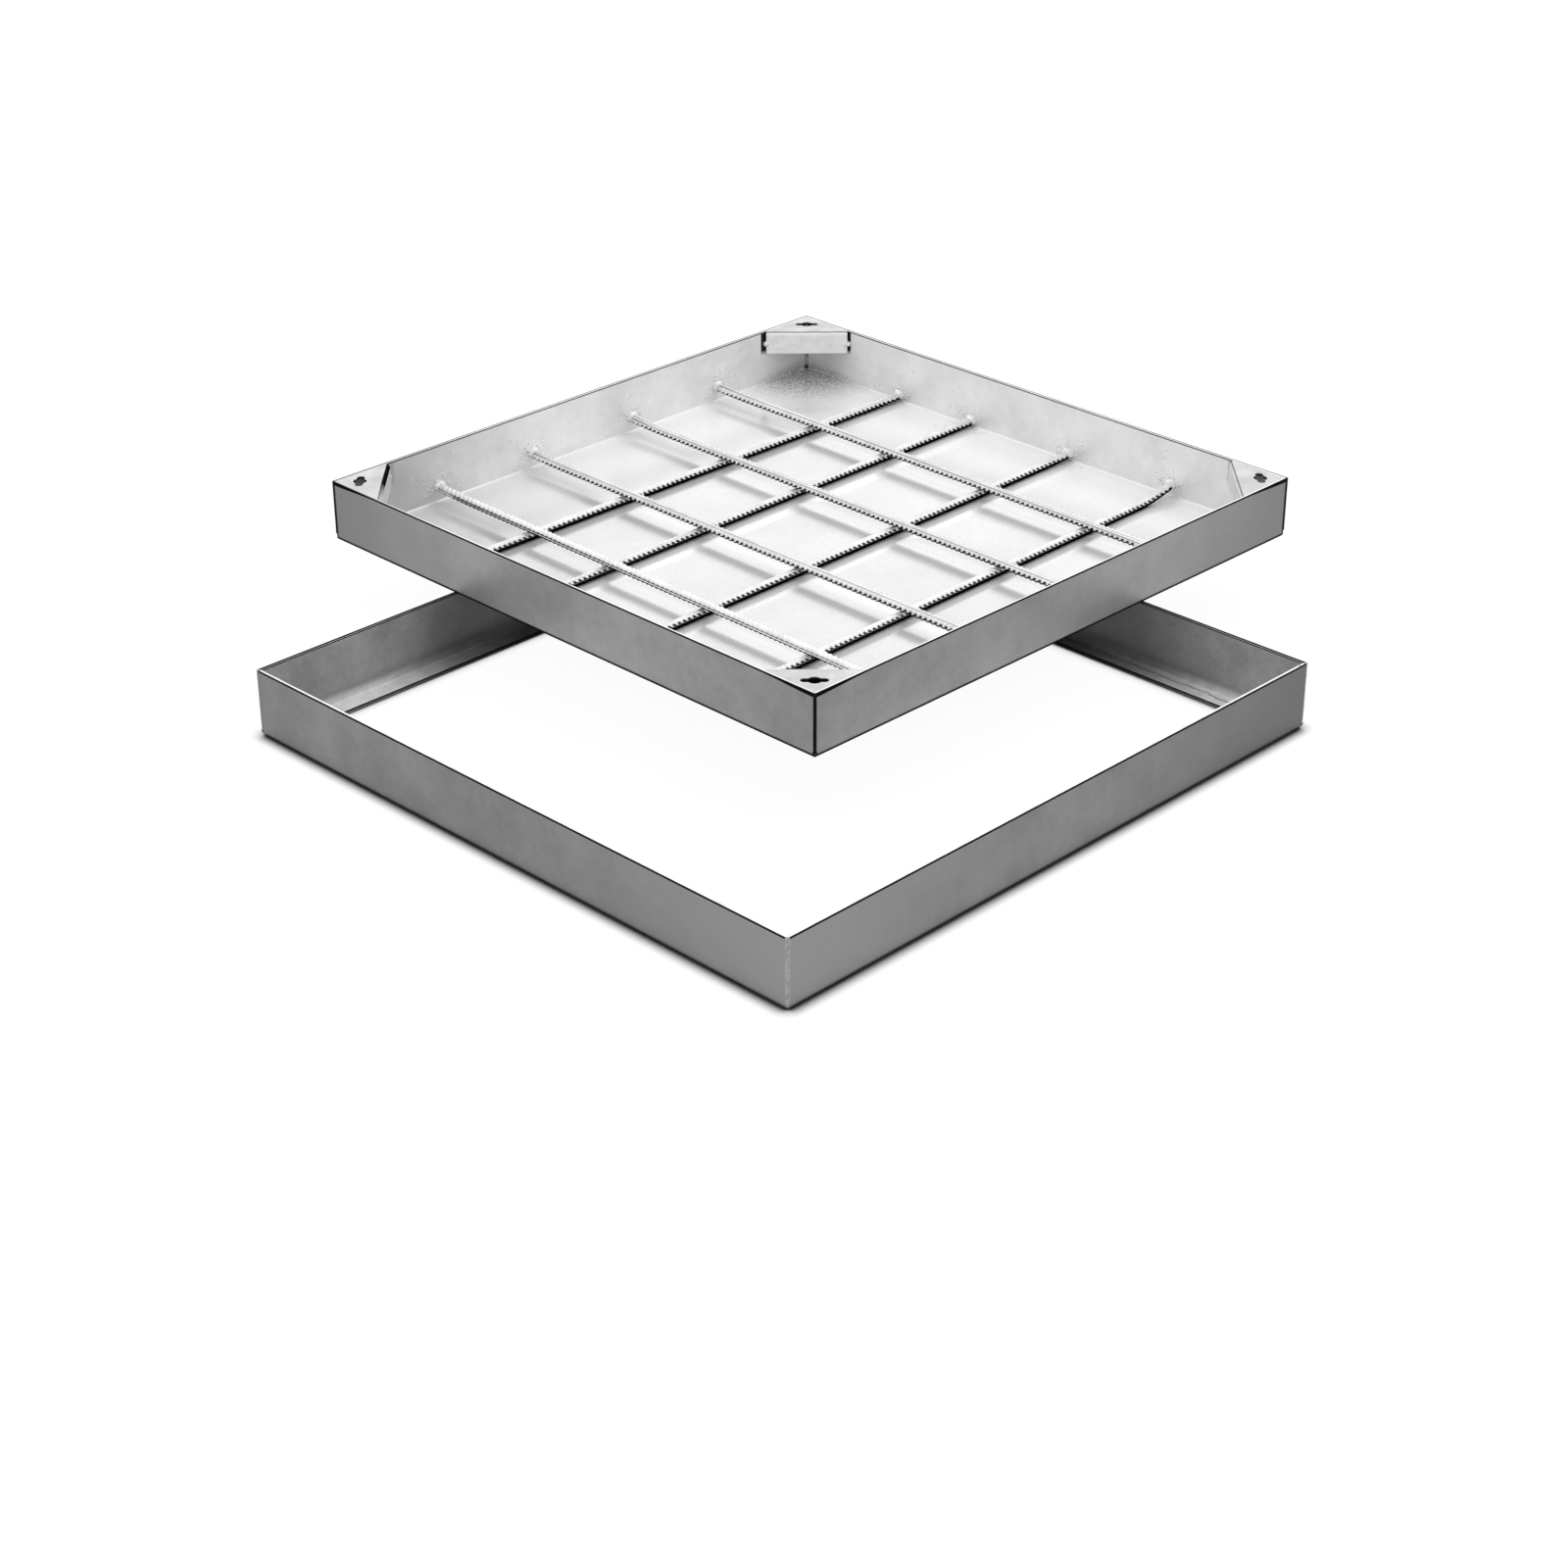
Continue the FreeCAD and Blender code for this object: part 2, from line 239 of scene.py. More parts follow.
# upward faces are painted brighter than upright ones: painted light from above
coat = add(tree, "MixRGB", {"Fac": face_up, "Color1": wall_coat, "Color2": ledge_coat})
painted_tray_shadow = add(tree, "Math", {0: y, 1: 40.0}, operation="ADD")
painted_tray_shadow = add(tree, "Math", {0: x, 1: painted_tray_shadow}, operation="MINIMUM")
painted_tray_shadow = add(tree, "MapRange", {"Value": painted_tray_shadow, "From Min": -190.0, "From Max": -90.0,
                                    "To Max": 0.7}, interpolation_type="SMOOTHSTEP")
painted_tray_shadow = add(tree, "Math", {0: painted_tray_shadow, 1: inner}, operation="MULTIPLY")
coat = add(tree, "MixRGB", {"Fac": painted_tray_shadow, "Color1": coat, "Color2": linear("#242424")})

# a run of zinc has set in a wavy line along the right length's ledge
wobble = add(tree, "TexNoise", {"Vector": place, "Scale": 0.07, "Detail": 1.0})
zinc_run = add(tree, "Math", {0: wobble, 1: 8.0, 2: x}, operation="MULTIPLY_ADD")
zinc_run = add(tree, "Math", {0: zinc_run, 1: frame_half - 6.0, 2: 0.9}, operation="COMPARE")
zinc_run = add(tree, "Math", {0: zinc_run, 1: face_up}, operation="MULTIPLY")
zinc_run = add(tree, "Math", {0: zinc_run, 1: 0.7}, operation="MULTIPLY")
coat = add(tree, "MixRGB", {"Fac": zinc_run, "Color1": coat, "Color2": linear("#5A5A5A")})

# cut edges: dark lines along the rim's outer edge, the top of the inner faces and the ledge's edge;
# dark lines down the corners at the left and right; and painted shade along the foot, where the fold
# turns under
outer_line = add(tree, "Math", {0: far_way, 1: 1.6}, operation="ADD")
outer_line = add(tree, "Math", {0: outer_line, 1: reach}, operation="MAXIMUM")
outer_line = add(tree, "MapRange", {"Value": outer_line, "From Min": frame_half - 1.2,
                                    "From Max": frame_half - 1.0})
inner_line = add(tree, "Math", {0: height, 1: frame_height - 1.2}, operation="GREATER_THAN")
not_rim = add(tree, "Math", {0: height, 1: frame_height - 0.1}, operation="LESS_THAN")
near_top = add(tree, "Math", {0: height, 1: frame_height - 1.0}, operation="GREATER_THAN")
outer_line = add(tree, "Math", {0: outer_line, 1: near_top}, operation="MULTIPLY")
inner_line = add(tree, "Math", {0: inner_line, 1: not_rim}, operation="MULTIPLY")
inner_line = add(tree, "Math", {0: inner_line, 1: inner}, operation="MULTIPLY")
cut_edge = add(tree, "Math", {0: reach, 1: frame_half - ledge_width + 0.2}, operation="LESS_THAN")
cut_depth = add(tree, "MapRange", {"Value": height, "From Min": 1.2, "From Max": 2.2, "To Min": 0.8})
cut_edge = add(tree, "Math", {0: cut_edge, 1: cut_depth}, operation="MULTIPLY")
foot = add(tree, "MapRange", {"Value": height, "From Min": 0.9, "From Max": 2.7, "To Min": 1.0,
                              "To Max": 0.0})
along = add(tree, "Math", {0: spot.outputs["X"], 1: spot.outputs["Y"]}, operation="MINIMUM")
corner_line = add(tree, "MapRange", {"Value": along, "From Min": frame_half - 3.4,
                                     "From Max": frame_half - 2.6, "To Max": 0.8})
side_corner = add(tree, "Math", {0: x, 1: y}, operation="MULTIPLY")
side_corner = add(tree, "Math", {0: side_corner, 1: 0.0}, operation="LESS_THAN")
corner_line = add(tree, "Math", {0: corner_line, 1: side_corner}, operation="MULTIPLY")
foot = add(tree, "Math", {0: foot, 1: corner_line}, operation="MAXIMUM")
outer = add(tree, "Math", {0: 1.0, 1: inner}, operation="SUBTRACT")
dark = add(tree, "Math", {0: foot, 1: outer}, operation="MULTIPLY")
for line in (outer_line, inner_line, cut_edge):
    dark = add(tree, "Math", {0: dark, 1: line}, operation="MAXIMUM")
coat = add(tree, "MixRGB", {"Fac": dark, "Color1": coat, "Color2": linear("#1A1A1A")})
body = add(tree, "MapRange", {"Value": face_up, "To Min": 0.45, "To Max": 0.0})
relief = rough_skin(tree, place, 0.35, 3.0, 0.2, 0.0002)
gloss = add(tree, "MapRange", {"Value": dark, "To Min": 0.42, "To Max": 0.85})
shine = add(tree, "MapRange", {"Value": dark, "To Min": 0.5, "To Max": 0.0})
clean = add(tree, "Math", {0: 1.0, 1: dark}, operation="SUBTRACT")
body = add(tree, "Math", {0: body, 1: clean}, operation="MULTIPLY")
metal = add(tree, "BsdfPrincipled", {"Base Color": coat, "Metallic": body, "Roughness": gloss,
                                     "Specular IOR Level": shine, "Normal": relief})
add(tree, "OutputMaterial", {"Surface": metal})
for side in ("front", "right", "back", "left"):
    dress("frame_rail_" + side, frame_zinc)


# Frame corner welds
# Each mitre is welded down its outer edge and ground back flush with both faces. The disc leaves
# the edge uneven, a little rounder here and there, with fine scratches across the weld.

def make_piece(name, corners, faces, material, slot_name, *replaced):
    """A piece of the set from its mesh, in metres, that stands for nodes of the model."""
    mesh = bpy.data.meshes.new(name)
    mesh.from_pydata([tuple(corner) for corner in corners], [], faces)
    mesh.validate()
    mesh.materials.append(material)
    form = bmesh.new()
    form.from_mesh(mesh)
    bmesh.ops.recalc_face_normals(form, faces=form.faces)
    form.to_mesh(mesh)
    form.free()
    piece = bpy.data.objects.new(name, mesh)
    bpy.context.collection.objects.link(piece)
    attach(piece, "root")
    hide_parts(*replaced)
    return piece


def skin_rings(rings, corners, faces):
    """Adds a tube through rings of equally many points, with both its ends capped."""
    start = len(corners)
    count = len(rings[0])
    for ring in rings:
        corners.extend(ring)
    for row in range(len(rings) - 1):
        for spot in range(count):
            one = start + row * count + spot
            two = start + row * count + (spot + 1) % count
            faces.append((one, two, two + count, one + count))
    faces.append(tuple(range(start, start + count)))
    faces.append(tuple(range(start + (len(rings) - 1) * count, start + len(rings) * count)))


def uneven(place, size_mm, seed):
    """Smooth noise from -1 to 1 over a place in millimetres, with waves of the given size."""
    return noise.noise(Vector(place) / size_mm + Vector((seed * 17.3, seed * 5.1, seed * 11.7)))


weld_width = 2.5            # along both faces, from the outer edge
weld_foot = 5.0
weld_top = 59.0
weld_step = 1.2
disc_round = 0.95           # how round the disc leaves the outer edge, in the mean
weld_proud = 0.03
weld_mm = Matrix.Translation(frame_centre) @ Matrix.Scale(0.001, 4)

corners, faces = [], []
for quarter in range(4):
    turned = weld_mm @ Matrix.Rotation(math.radians(90 * quarter), 4, "Z")
    rows = round((weld_top - weld_foot) / weld_step)
    rings = []
    for row in range(rows + 1):
        height = weld_foot + (weld_top - weld_foot) * row / rows
        edge = (disc_round + 0.35 * uneven((0, 0, height), 7.0, quarter)
                + 0.15 * uneven((9, 0, height), 1.8, quarter))
        proud_x = weld_proud + 0.05 * uneven((0, 5, height), 3.0, quarter)
        proud_y = weld_proud + 0.05 * uneven((5, 0, height), 3.0, quarter)
        outline = [(weld_width, weld_width), (weld_width, 0),
                   (weld_width * 0.7, -proud_y), (edge, -proud_y)]
        for step in range(1, 5):
            angle = math.radians(90 * step / 5)
            outline.append((edge * (1 - math.sin(angle)), edge * (1 - math.cos(angle))))
        outline += [(-proud_x, edge), (-proud_x, weld_width * 0.7), (0, weld_width)]
        rings.append([turned @ Vector((x - frame_half, y - frame_half, height)) for x, y in outline])
    skin_rings(rings, corners, faces)

# Ground weld under zinc: brighter and more streaked than the sheet, with scratches 0.3 mm apart
ground_zinc, tree = new_material("ground_weld_galvanised")
place = place_in_mm(tree)
ground_coat = zinc_coat(tree, place, "#8A8A8A", "#A6A6A6", 4.0, 1.2)
across = add(tree, "VectorMath", {0: place, 1: (0.3, 0.3, 3.0)}, operation="MULTIPLY")
relief = rough_skin(tree, across, 1.0, 2.0, 0.5, 0.0002)
metal = add(tree, "BsdfPrincipled", {"Base Color": ground_coat, "Metallic": 0.45, "Roughness": 0.36,
                                     "Normal": relief})
add(tree, "OutputMaterial", {"Surface": metal})
make_piece("frame_ground_welds", corners, faces, ground_zinc, "weld_metal", "frame_corner_welds")


# Tray
# One 2.5 mm sheet with its four sides folded up and the corners left open for the weld. Inside it is
# painted bright, as painted light from above, and outside a dull grey like the frame, as painted
# shade.

tray_low, tray_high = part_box("tray_pan")
tray_centre = Vector(((tray_low.x + tray_high.x) / 2, (tray_low.y + tray_high.y) / 2, tray_low.z))
tray_turn = math.radians(-0.4)
tray_half = 294.0
tray_height = 56.0
tray_sheet = 2.5
inner_half = tray_half - tray_sheet
plate_leg = 60.5
lip_height = 22.0
tray_mm = (Matrix.Translation(tray_centre) @ Matrix.Rotation(tray_turn, 4, "Z")
           @ Matrix.Scale(0.001, 4))

# Hot-dip galvanised steel, painted bright inside and nearly white where it faces up, as painted
# light, with blurred reflections of the bars in the floor, and painted a dull grey outside like the
# frame, as painted shade
tray_zinc, tree = new_material("hot_dip_galvanised_tray")
place = place_in_mm(tree, tuple(tray_centre), tray_turn)
spot = add(tree, "VectorMath", {0: place}, operation="ABSOLUTE")
spot = add(tree, "SeparateXYZ", {0: spot})
x, y, height = add(tree, "SeparateXYZ", {0: place}).outputs
reach = add(tree, "Math", {0: spot.outputs["X"], 1: spot.outputs["Y"]}, operation="MAXIMUM")
along = add(tree, "Math", {0: spot.outputs["X"], 1: spot.outputs["Y"]}, operation="MINIMUM")
within = add(tree, "MapRange", {"Value": reach, "From Min": tray_half - 1.3,
                                "From Max": tray_half - 1.1, "To Min": 1.0, "To Max": 0.0})
above = add(tree, "MapRange", {"Value": height, "From Min": 2.3, "From Max": 2.4})
inside = add(tree, "Math", {0: within, 1: above}, operation="MULTIPLY")

# inside: the floor is a little greyer between the bars; painted light whitens it in a band beside
# each bar, where the bars' shade falls, and at the far sides, and painted shade greys it on the left
diagonal = add(tree, "Math", {0: x, 1: y}, operation="ADD")
far_share = add(tree, "MapRange", {"Value": diagonal, "From Min": -240.0, "From Max": 240.0},
                interpolation_type="SMOOTHSTEP")
near_coat = zinc_coat(tree, place, "#DCDCDC", "#E6E6E6", 90.0, 9.0)
far_coat = zinc_coat(tree, place, "#DCDCDC", "#E8E8E8", 90.0, 9.0)
floor_coat = add(tree, "MixRGB", {"Fac": far_share, "Color1": near_coat, "Color2": far_coat})
by_wall = add(tree, "Math", {0: x, 1: y}, operation="MAXIMUM")
by_wall = add(tree, "MapRange", {"Value": by_wall, "From Min": 180.0, "From Max": 245.0},
              interpolation_type="SMOOTHSTEP")
floor_coat = add(tree, "MixRGB", {"Fac": by_wall, "Color1": floor_coat, "Color2": linear("#F6F6F6")})
bar_spacing = 2 * inner_half / 5
upper_band = 68.4           # how far from the middle the second upper bar's band runs
lower_band = 60.3           # and the second lower bar's
near_upper = add(tree, "Math", {0: x, 1: upper_band}, operation="ADD")
near_upper = add(tree, "Math", {0: near_upper, 1: bar_spacing / 2}, operation="PINGPONG")
near_lower = add(tree, "Math", {0: y, 1: lower_band}, operation="ADD")
near_lower = add(tree, "Math", {0: near_lower, 1: bar_spacing / 2}, operation="PINGPONG")
near_bar = add(tree, "Math", {0: near_upper, 1: near_lower}, operation="MINIMUM")
near_bar = add(tree, "MapRange", {"Value": near_bar, "From Min": 3.0, "From Max": 15.0,
                                  "To Min": 0.85, "To Max": 0.0}, interpolation_type="SMOOTHSTEP")
floor_coat = add(tree, "MixRGB", {"Fac": near_bar, "Color1": floor_coat, "Color2": linear("#FFFFFF")})
rightwards = add(tree, "Math", {0: x, 1: y}, operation="SUBTRACT")
left_floor = add(tree, "MapRange", {"Value": rightwards, "From Min": -480.0, "From Max": -180.0,
                                    "To Min": 0.3, "To Max": 0.0}, interpolation_type="SMOOTHSTEP")
floor_coat = add(tree, "MixRGB", {"Fac": left_floor, "Color1": floor_coat,
                                  "Color2": linear("#969696")})
speck = add(tree, "TexNoise", {"Vector": place, "Scale": 0.45, "Detail": 1.0})
speck = add(tree, "MapRange", {"Value": speck, "From Min": 0.62, "From Max": 0.72, "To Max": 0.2})
floor_coat = add(tree, "MixRGB", {"Fac": speck, "Color1": floor_coat, "Color2": linear("#707070")})

# the sides: painted bright, with painted shade greying them towards the left corner, and a painted
# highlight, a white line where the fold catches the light
back_coat = zinc_coat(tree, place, "#EAEAEA", "#FFFFFF", 45.0, 9.0)
right_coat = zinc_coat(tree, place, "#EAEAEA", "#FCFCFC", 45.0, 9.0)
leftmost = add(tree, "MapRange", {"Value": rightwards, "From Min": -2 * inner_half,
                                  "From Max": -370.0, "To Min": 0.7, "To Max": 0.0},
               interpolation_type="SMOOTHSTEP")
on_right = add(tree, "MapRange", {"Value": rightwards, "From Min": -60.0, "From Max": 60.0})
side_coat = add(tree, "MixRGB", {"Fac": on_right, "Color1": back_coat, "Color2": right_coat})
side_coat = add(tree, "MixRGB", {"Fac": leftmost, "Color1": side_coat, "Color2": linear("#969696")})
upright = add(tree, "MapRange", {"Value": height, "From Min": 2.7, "From Max": 3.3})
bright_coat = add(tree, "MixRGB", {"Fac": upright, "Color1": floor_coat, "Color2": side_coat})
fold_line = add(tree, "MapRange", {"Value": height, "From Min": 3.0, "From Max": 4.4})
fold_line = add(tree, "Math", {0: fold_line, 1: 0.5, 2: 0.45}, operation="COMPARE")
bright_coat = add(tree, "MixRGB", {"Fac": fold_line, "Color1": bright_coat,
                                   "Color2": linear("#FFFFFF")})

# a grainy dark patch round the far corner's foot: weld smoke, and painted shade of the corner
smoke_and_shade_middle = inner_half - 20
smoke_and_shade_place = add(tree, "VectorMath", {0: place, 1: (1.0, 1.0, 6.0)}, operation="MULTIPLY")
smoke_and_shade_place = add(tree, "VectorMath", {0: smoke_and_shade_place, 1: (smoke_and_shade_middle, smoke_and_shade_middle, 12.0)},
                  operation="DISTANCE")
smoke_and_shade = add(tree, "MapRange", {"Value": smoke_and_shade_place.outputs["Value"], "From Min": 10.0,
                               "From Max": 80.0, "To Min": 0.36, "To Max": 0.0},
            interpolation_type="SMOOTHSTEP")
grit = add(tree, "TexNoise", {"Vector": place, "Scale": 0.6, "Detail": 2.0, "Roughness": 0.7})
grit = add(tree, "MapRange", {"Value": grit, "From Min": 0.44, "From Max": 0.56, "To Min": 0.15,
                              "To Max": 1.9})
smoke_and_shade = add(tree, "Math", {0: smoke_and_shade, 1: grit}, operation="MULTIPLY", use_clamp=True)
bright_coat = add(tree, "MixRGB", {"Fac": smoke_and_shade, "Color1": bright_coat, "Color2": linear("#4A4A4A")})

# the pocket behind each lip, above its lower edge, shows through the keyhole: painted shade, black in
# the near and far corners, pale grey in the other two, and in the right one starting closer to the
# corner
corner_sum = add(tree, "Math", {0: reach, 1: along}, operation="ADD")
corner_sum = add(tree, "Math", {0: on_right, 1: -2.6, 2: corner_sum}, operation="MULTIPLY_ADD")
lip_sum = 2 * inner_half - plate_leg
pocket = add(tree, "MapRange", {"Value": corner_sum, "From Min": lip_sum - 3.6,
                                "From Max": lip_sum - 2.0})
pocket_high = add(tree, "MapRange", {"Value": height, "From Min": tray_height - lip_height - 2,
                                     "From Max": tray_height - lip_height + 3})
pocket = add(tree, "Math", {0: pocket, 1: pocket_high}, operation="MULTIPLY")
pocket_low = add(tree, "MapRange", {"Value": height, "From Min": tray_height - 1.0,
                                    "From Max": tray_height - 0.9, "To Min": 1.0, "To Max": 0.0})
pocket = add(tree, "Math", {0: pocket, 1: pocket_low}, operation="MULTIPLY")
near_or_far = add(tree, "Math", {0: diagonal}, operation="ABSOLUTE")
near_or_far = add(tree, "MapRange", {"Value": near_or_far, "From Min": 200.0, "From Max": 300.0})
pocket_coat = add(tree, "MixRGB", {"Fac": near_or_far, "Color1": linear("#B4B4B4"),
                                   "Color2": linear("#0C0C0C")})
bright_coat = add(tree, "MixRGB", {"Fac": pocket, "Color1": bright_coat, "Color2": pocket_coat})

# a thin dark line along the top of each side, where the shears have bared the edge
shorn = add(tree, "MapRange", {"Value": height, "From Min": tray_height - 1.5,
                               "From Max": tray_height - 1.3})
shorn_low = add(tree, "MapRange", {"Value": height, "From Min": tray_height - 0.1,
                                   "From Max": tray_height - 0.05, "To Min": 0.9, "To Max": 0.0})
shorn = add(tree, "Math", {0: shorn, 1: shorn_low}, operation="MULTIPLY")
bright_coat = add(tree, "MixRGB", {"Fac": shorn, "Color1": bright_coat, "Color2": linear("#383838")})

# outside: a dark line along the top, deeper beside the plates, painted shade on the fold at the foot,
# and a dark line down each corner seam
far_way = add(tree, "Math", {0: x, 1: y}, operation="MAXIMUM")
to_middle = add(tree, "MapRange", {"Value": far_way, "From Min": -290.0, "From Max": -60.0})
to_end = add(tree, "MapRange", {"Value": far_way, "From Min": 40.0, "From Max": 280.0})
shaded_outside_coat = zinc_coat(tree, place, "#8A8A8A", "#9C9C9C", 45.0, 6.0)
middle_coat = zinc_coat(tree, place, "#9A9A9A", "#ACACAC", 45.0, 6.0)
shaded_outside_coat = add(tree, "MixRGB", {"Fac": to_middle, "Color1": shaded_outside_coat, "Color2": middle_coat})
shaded_outside_coat = add(tree, "MixRGB", {"Fac": to_end, "Color1": shaded_outside_coat, "Color2": linear("#7C7C7C")})
edge_depth = add(tree, "MapRange", {"Value": along, "From Min": inner_half - plate_leg,
                                    "From Max": tray_half, "To Min": 1.0, "To Max": 3.2},
                 interpolation_type="SMOOTHSTEP")
edge_place = add(tree, "Math", {0: height, 1: edge_depth}, operation="ADD")
edge = add(tree, "MapRange", {"Value": edge_place, "From Min": tray_height - 0.1,
                              "From Max": tray_height + 0.3})
foot = add(tree, "MapRange", {"Value": height, "From Min": 3.4, "From Max": 5.4, "To Min": 1.0,
                              "To Max": 0.0}, interpolation_type="SMOOTHSTEP")
seam_start = add(tree, "MapRange", {"Value": near_or_far, "To Min": tray_half - 4.0,
                                    "To Max": tray_half - 2.4})
seam_end = add(tree, "Math", {0: seam_start, 1: 0.8}, operation="ADD")
seam = add(tree, "MapRange", {"Value": along, "From Min": seam_start, "From Max": seam_end})
dark = add(tree, "Math", {0: edge, 1: foot}, operation="MAXIMUM")
dark = add(tree, "Math", {0: dark, 1: seam}, operation="MAXIMUM")
shaded_outside_coat = add(tree, "MixRGB", {"Fac": dark, "Color1": shaded_outside_coat, "Color2": linear("#141414")})

tray_coat = add(tree, "MixRGB", {"Fac": inside, "Color1": shaded_outside_coat, "Color2": bright_coat})
relief = rough_skin(tree, place, 0.35, 3.0, 0.12, 0.0002)
outside = add(tree, "Math", {0: 1.0, 1: inside}, operation="SUBTRACT")
matt = add(tree, "Math", {0: outside, 1: dark}, operation="MULTIPLY")
clean = add(tree, "Math", {0: 1.0, 1: matt}, operation="SUBTRACT")
gloss = add(tree, "MapRange", {"Value": upright, "To Min": 0.16, "To Max": 0.44})
gloss = add(tree, "Math", {0: matt, 1: 0.45, 2: gloss}, operation="MULTIPLY_ADD")
mirror = add(tree, "MapRange", {"Value": by_wall, "To Min": 0.36, "To Max": 0.2})
body = add(tree, "MapRange", {"Value": upright, "To Min": mirror, "To Max": 0.4})
body = add(tree, "Math", {0: body, 1: clean}, operation="MULTIPLY")
shine = add(tree, "Math", {0: clean, 1: 0.5}, operation="MULTIPLY")
metal = add(tree, "BsdfPrincipled", {"Base Color": tray_coat, "Metallic": body, "Roughness": gloss,
                                     "Specular IOR Level": shine, "Normal": relief})
add(tree, "OutputMaterial", {"Surface": metal})
dress("tray_pan", tray_zinc)


# Tray corner welds
# Each corner seam is welded from inside, in short overlapping ripples. The weld fills the gap between
# the two sides to 1 mm short of the outer edge, so that the seam shows outside as a thin dark line.

seam_foot = 3.2
seam_top = tray_height - tray_sheet
seam_gap = 0.6
seam_leg = 2.5
ripple = 2.2
rows_per_ripple = 4

corners, faces = [], []
for quarter in range(4):
    turned = tray_mm @ Matrix.Rotation(math.radians(90 * quarter), 4, "Z")
    rings = []
    rows = round((seam_top - seam_foot) / ripple * rows_per_ripple)
    for row in range(rows + 1):
        height = seam_foot + (seam_top - seam_foot) * row / rows
        wave = (row % rows_per_ripple) / rows_per_ripple
        leg = seam_leg * (0.9 + 0.3 * math.sin(math.pi * wave)
                          + 0.12 * uneven((0, 0, height), 5.0, quarter))
        outline = [(-0.15, -0.15), (leg, -0.1), (leg * 0.78, 0.28 * leg), (leg * 0.52, 0.52 * leg),
                   (leg * 0.28, leg * 0.78), (-0.1, leg)]
        rings.append([turned @ Vector((x - inner_half, y - inner_half, height)) for x, y in outline])
    skin_rings(rings, corners, faces)
    filling = []
    for height in (seam_foot, tray_height - 0.2):
        ring = []
        for out, side in ((1.0, -1), (1.0, 1), (3.6, 1), (3.6, -1)):
            point = Vector((out, side * seam_gap / 2, 0))
            point.rotate(Matrix.Rotation(math.radians(45), 3, "Z"))
            ring.append(turned @ (point + Vector((-tray_half, -tray_half, height))))
        filling.append(ring)
    skin_rings(filling, corners, faces)

# Weld metal under zinc: lumpy and white with small bright highlights, and painted grey where it faces
# down, as shade
weld_zinc, tree = new_material("weld_metal_galvanised")
place = place_in_mm(tree)
weld_coat = zinc_coat(tree, place, "#E8E8E8", "#FFFFFF", 2.5, 0.8)
turned_up = add(tree, "MapRange", {"Value": facing_up(tree), "From Min": -0.8, "From Max": -0.2})
weld_coat = add(tree, "MixRGB", {"Fac": turned_up, "Color1": linear("#6C6C6C"), "Color2": weld_coat})
relief = rough_skin(tree, place, 1.6, 2.0, 0.6, 0.0003)
metal = add(tree, "BsdfPrincipled", {"Base Color": weld_coat, "Metallic": 0.6, "Roughness": 0.26,
                                     "Normal": relief})
add(tree, "OutputMaterial", {"Surface": metal})

# The same weld in the corners: duller, sooty at its foot, and black in the seam's outer gap
sooty_weld, tree = new_material("weld_metal_sooty")
place = place_in_mm(tree, tuple(tray_centre), tray_turn)
soot_coat = zinc_coat(tree, place, "#A0A0A0", "#DCDCDC", 2.5, 0.8)
height = add(tree, "SeparateXYZ", {0: place}).outputs["Z"]
low = add(tree, "MapRange", {"Value": height, "From Min": 5.0, "From Max": 9.0, "To Min": 1.0,
                             "To Max": 0.0})
spot = add(tree, "SeparateXYZ", {0: add(tree, "VectorMath", {0: place}, operation="ABSOLUTE")})
in_gap = add(tree, "Math", {0: spot.outputs["X"], 1: inner_half + 0.4}, operation="GREATER_THAN")
low = add(tree, "Math", {0: low, 1: in_gap}, operation="MAXIMUM")
soot_coat = add(tree, "MixRGB", {"Fac": low, "Color1": soot_coat, "Color2": linear("#1A1A1A")})
relief = rough_skin(tree, place, 1.6, 2.0, 0.6, 0.0003)
metal = add(tree, "BsdfPrincipled", {"Base Color": soot_coat, "Metallic": 0.3, "Roughness": 0.6,
                                     "Normal": relief})
add(tree, "OutputMaterial", {"Surface": metal})
make_piece("tray_seam_welds", corners, faces, sooty_weld, "weld_metal", "tray_corner_welds")


# Corner plates
# Triangles of the same sheet welded flush into the tray's corners, each with a lip folded down and a
# keyhole for the lifting key. Beneath, they are painted dark as shade.

# Hot-dip galvanised steel: grainy and grey on top, and nearly white on the far plate's lip, which is
# painted brighter than the other lips as painted light
plate_zinc, tree = new_material("hot_dip_galvanised_plate")
place = place_in_mm(tree, tuple(tray_centre), tray_turn)
top_coat = zinc_coat(tree, place, "#B8B8B8", "#D4D4D4", 20.0, 2.5)
lip_coat = zinc_coat(tree, place, "#F0F0F0", "#FFFFFF", 9.0, 4.0)
diagonal = add(tree, "VectorMath", {0: place, 1: (1, 1, 0)}, operation="DOT_PRODUCT")
far_share = add(tree, "MapRange", {"Value": diagonal.outputs["Value"], "From Min": 200.0,
                                   "From Max": 300.0})
side_lip = zinc_coat(tree, place, "#CCCCCC", "#E8E8E8", 9.0, 2.5)
lip_coat = add(tree, "MixRGB", {"Fac": far_share, "Color1": side_lip, "Color2": lip_coat})
upwards = facing_up(tree)
face_up = add(tree, "MapRange", {"Value": upwards, "From Min": 0.7, "From Max": 0.9})
plate_coat = add(tree, "MixRGB", {"Fac": face_up, "Color1": lip_coat, "Color2": top_coat})

